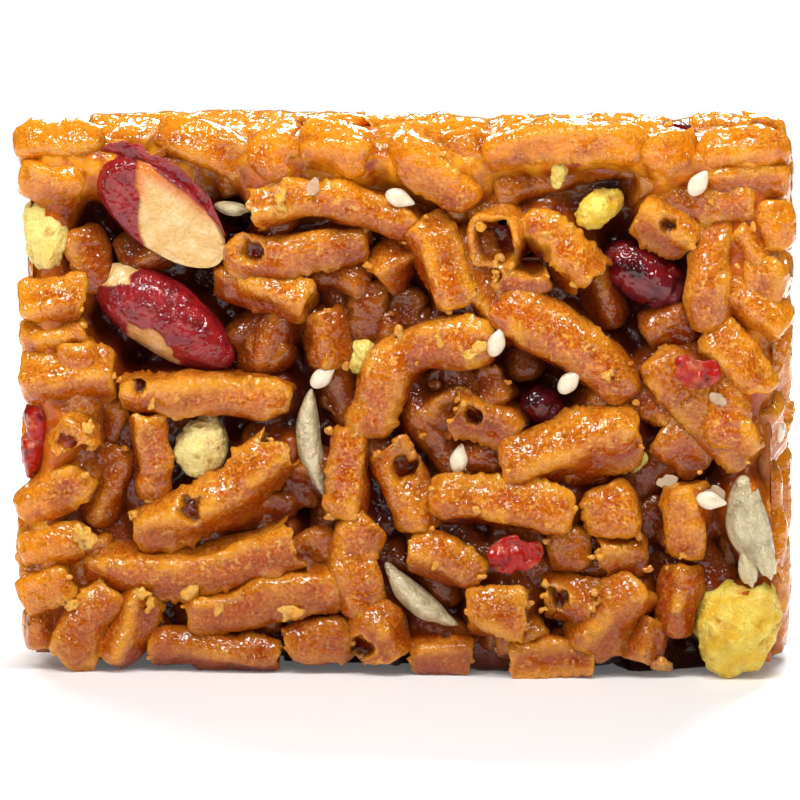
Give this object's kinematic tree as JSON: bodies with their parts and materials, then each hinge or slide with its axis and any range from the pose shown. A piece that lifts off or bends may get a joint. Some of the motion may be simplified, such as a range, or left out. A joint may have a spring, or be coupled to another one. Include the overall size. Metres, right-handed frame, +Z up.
{
  "type": "sachima",
  "caption": "Cut block of sachima: golden fried dough strands bound with glossy syrup, studded with peanuts, raisins, corn puffs, seeds and bits of red fruit skin. It stands on its flat base.",
  "frame": {"origin": "the middle of the base that the block stands on", "axes": "+Z up, +X along the long side, and -Y out of the cut face that the picture shows"},
  "size_m": [0.0784, 0.0406, 0.0563],
  "materials": {
    "syrup_strand": "fried dough under a clear malt syrup glaze, glossy",
    "peanut_skin": "red peanut skin, syrup coated, glossy",
    "raisin": "dried grape skin, syrup coated, glossy",
    "corn_puff": "dry puffed corn crumb, matt and porous",
    "seed_kernel": "peeled seed kernel, syrup coated",
    "fruit_skin": "candied red fruit skin, glossy"
  },
  "bodies": {
    "root": {"strand_block": "syrup_strand", "peanut_half": "peanut_skin", "peanut_whole": "peanut_skin", "peanut_rim": "peanut_skin", "peanut_back": "peanut_skin", "peanut_low": "peanut_skin", "peanut_left": "peanut_skin", "raisin": "raisin", "raisin_deep": "raisin", "raisin_top": "raisin", "raisin_back": "raisin", "raisin_right": "raisin", "puff_corner": "corn_puff", "puff_left": "corn_puff", "puff_upper": "corn_puff", "puff_edge": "corn_puff", "puff_top": "corn_puff", "puff_back": "corn_puff", "puff_side": "corn_puff", "kernel_left": "seed_kernel", "kernel_low": "seed_kernel", "kernel_right": "seed_kernel", "kernel_back": "seed_kernel", "kernel_side": "seed_kernel", "skin_right": "fruit_skin", "skin_low": "fruit_skin", "skin_edge": "fruit_skin"}
  },
  "joints": []
}
